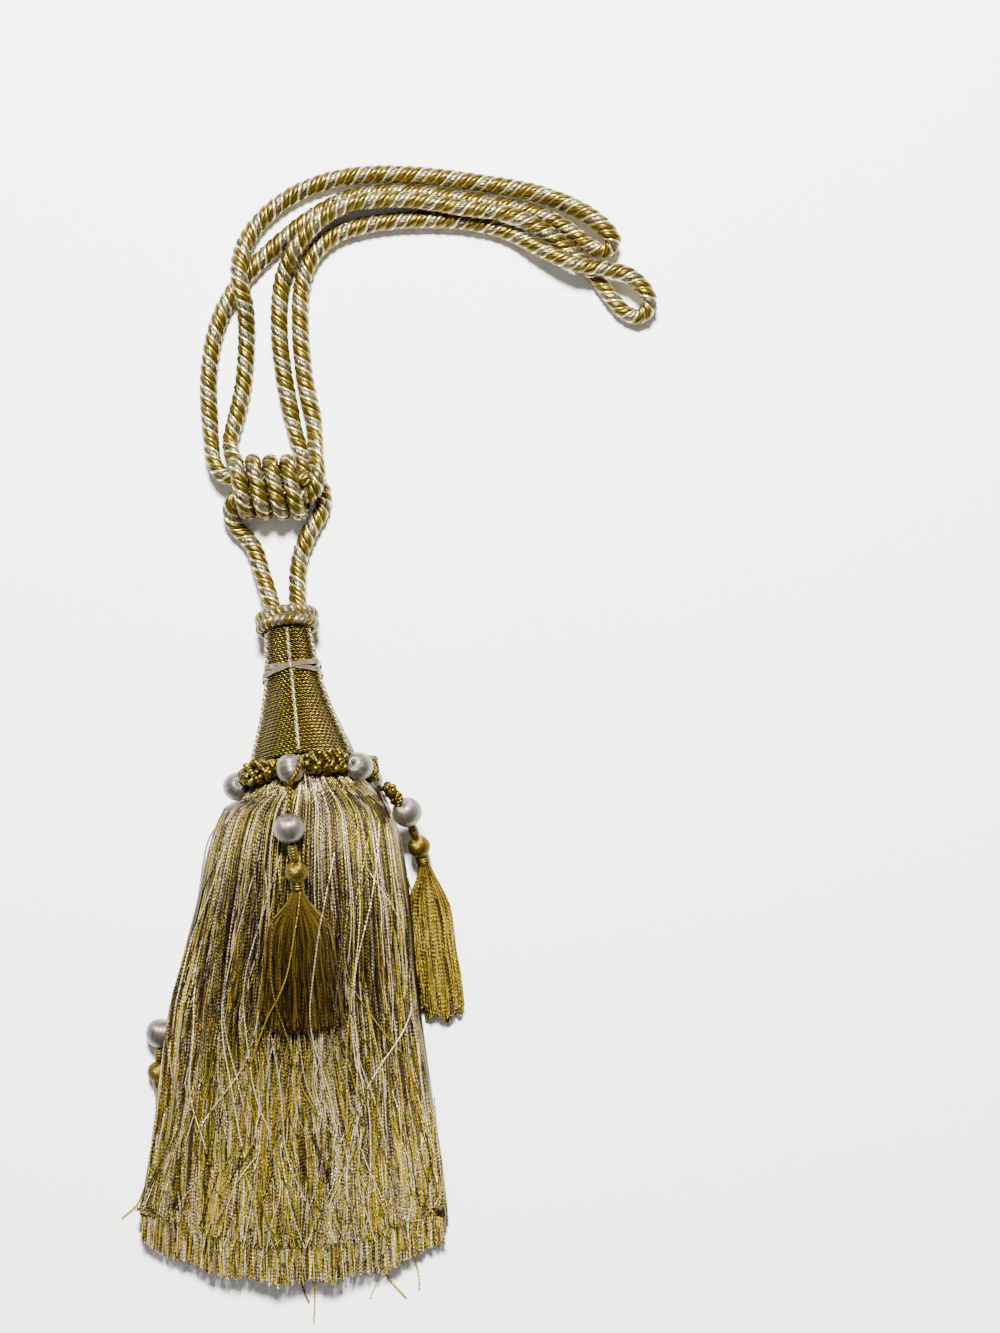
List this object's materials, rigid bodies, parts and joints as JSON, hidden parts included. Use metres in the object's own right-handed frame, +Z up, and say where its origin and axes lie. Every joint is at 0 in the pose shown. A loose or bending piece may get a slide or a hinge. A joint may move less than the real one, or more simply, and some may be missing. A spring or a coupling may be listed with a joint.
{
  "type": "curtain tieback tassel",
  "caption": "Curtain tieback: a plied rope with two long loops and a wrapped knot, on a wound flared head with a beaded ruff, a long thread skirt and small drop tassels.",
  "frame": {"origin": "centre of the underside of the tassel's bounding box, on the surface it lies on; the rope is left out of that box", "axes": "+Y along the tassel from its hem towards the rope loops, +X across it to the right as seen from above, +Z up"},
  "size_m": [0.2215, 0.4795, 0.071],
  "materials": {
    "rope_thread": "three-ply rayon rope, one gold, one mixed and one cream ply",
    "plait_thread": "plaited grey-beige and gold cord",
    "gold_thread": "glossy gold rayon thread",
    "skirt_thread": "loose twisted threads in gold, olive and cream",
    "cream_silk": "glossy cream silk thread"
  },
  "bodies": {
    "root": {"rope": "rope_thread", "collar": "plait_thread", "head": "gold_thread", "rib_1": "cream_silk", "rib_2": "cream_silk", "rib_3": "cream_silk", "rib_4": "cream_silk", "rib_5": "cream_silk", "rib_6": "cream_silk", "neck_band_under": "cream_silk", "neck_band_over": "cream_silk", "bead_1": "cream_silk", "bead_2": "cream_silk", "bead_3": "cream_silk", "bead_4": "cream_silk", "bead_5": "cream_silk", "bead_6": "cream_silk", "gimp_1": "gold_thread", "gimp_2": "gold_thread", "gimp_3": "gold_thread", "gimp_4": "gold_thread", "gimp_5": "gold_thread", "gimp_6": "gold_thread", "skirt": "skirt_thread", "drop_front_cord": "gold_thread", "drop_front_bead": "cream_silk", "drop_front_stub": "gold_thread", "drop_front_tassel": "gold_thread", "drop_right_cord": "gold_thread", "drop_right_bead": "cream_silk", "drop_right_stub": "gold_thread", "drop_right_tassel": "gold_thread", "drop_left_cord": "gold_thread", "drop_left_bead": "cream_silk", "drop_left_stub": "gold_thread", "drop_left_tassel": "gold_thread"}
  },
  "joints": []
}
